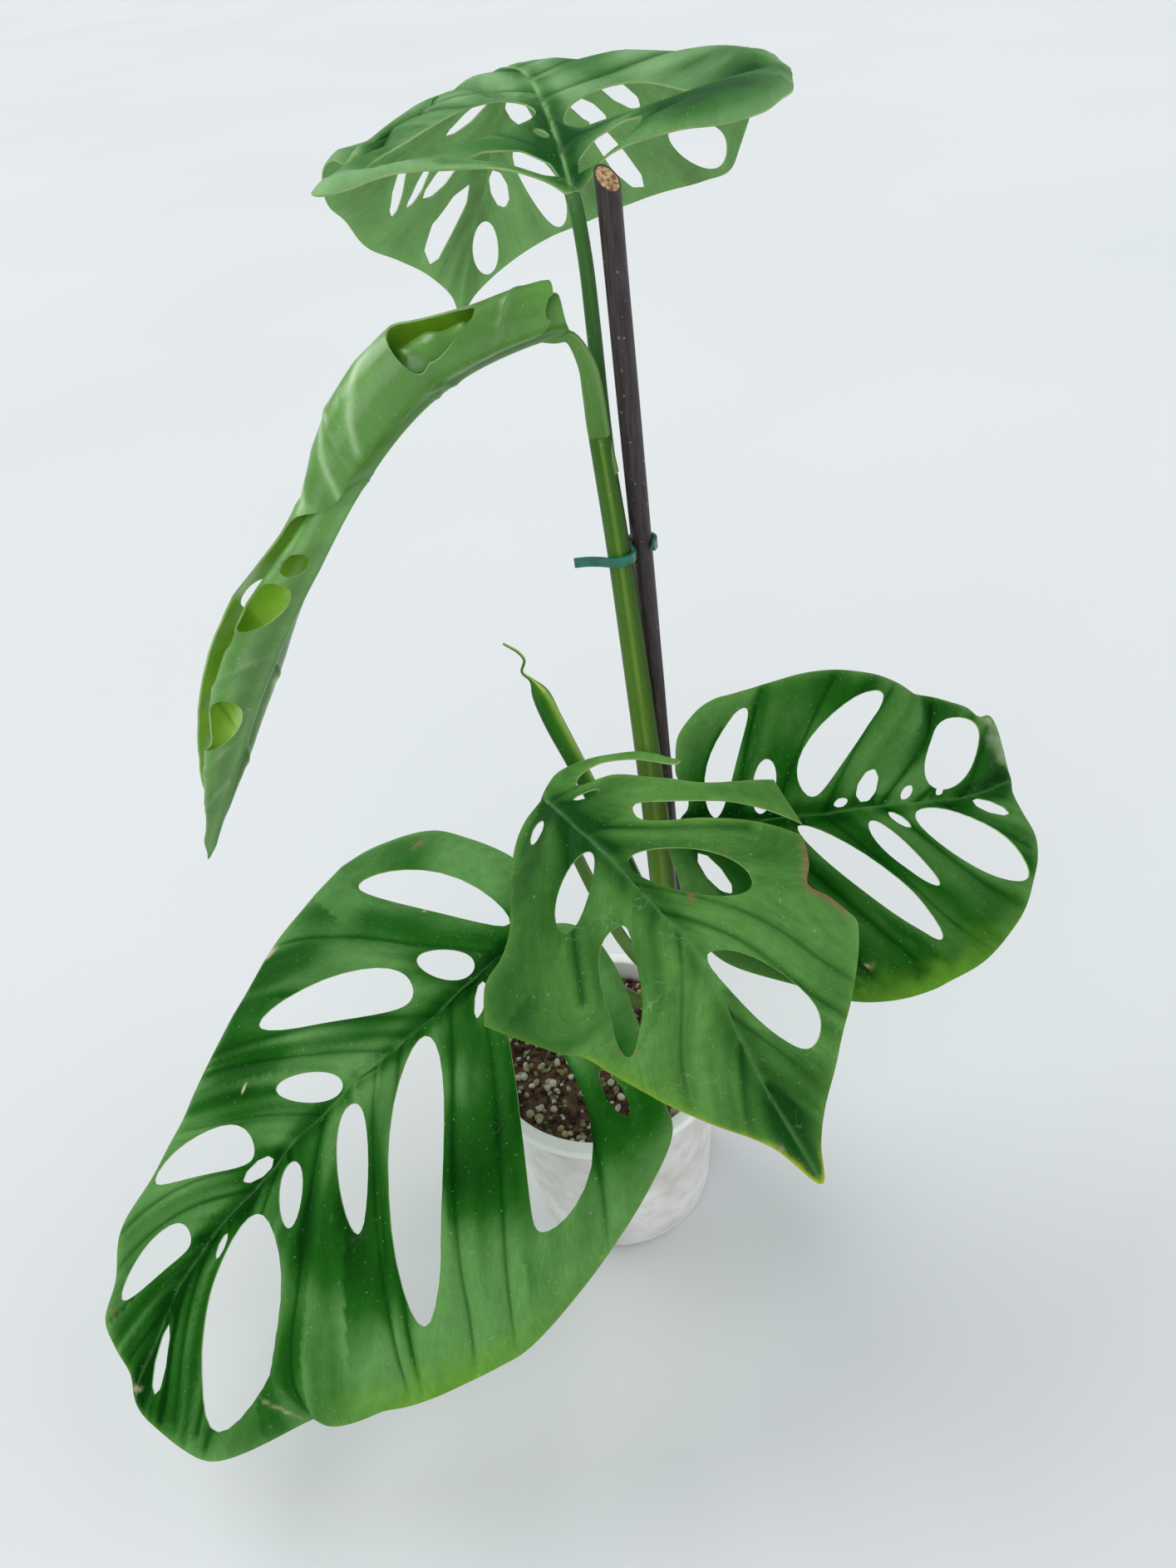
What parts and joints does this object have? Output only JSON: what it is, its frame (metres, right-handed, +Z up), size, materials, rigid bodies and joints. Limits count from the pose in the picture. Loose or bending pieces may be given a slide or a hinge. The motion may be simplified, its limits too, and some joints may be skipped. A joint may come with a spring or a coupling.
{
  "type": "potted monstera epipremnoides",
  "caption": "Potted climbing houseplant: large leaves with long windows on a stem tied to a dark stake, in a translucent nursery pot.",
  "frame": {"origin": "centre of the pot's flat underside", "axes": "+Z up along the stake and the pot's axis; the leaves face -Y, and the plant leans to -X"},
  "size_m": [0.3832, 0.2587, 0.4459],
  "materials": {
    "pot": "frosted translucent white, satin",
    "soil": "crumbly dark potting mix with pale grains, matt",
    "stake": "dark cane, finely grained, satin",
    "clip": "dark green, glossy",
    "stem": "smooth green plant skin with faint ridges, satin",
    "leaf": "deep green leaf with sunken veins, satin",
    "young_leaf": "light yellow-green young leaf, satin"
  },
  "bodies": {
    "root": {"pot": "pot", "soil": "soil", "stake": "stake", "stake_clip": "clip", "stem": "stem", "petiole_top": "stem", "petiole_rolled": "stem", "petiole_front": "stem", "petiole_side": "stem", "petiole_low": "stem", "new_shoot": "young_leaf", "leaf_top": "leaf", "leaf_rolled": "young_leaf", "leaf_front": "leaf", "leaf_side": "leaf", "leaf_low": "leaf"}
  },
  "joints": []
}
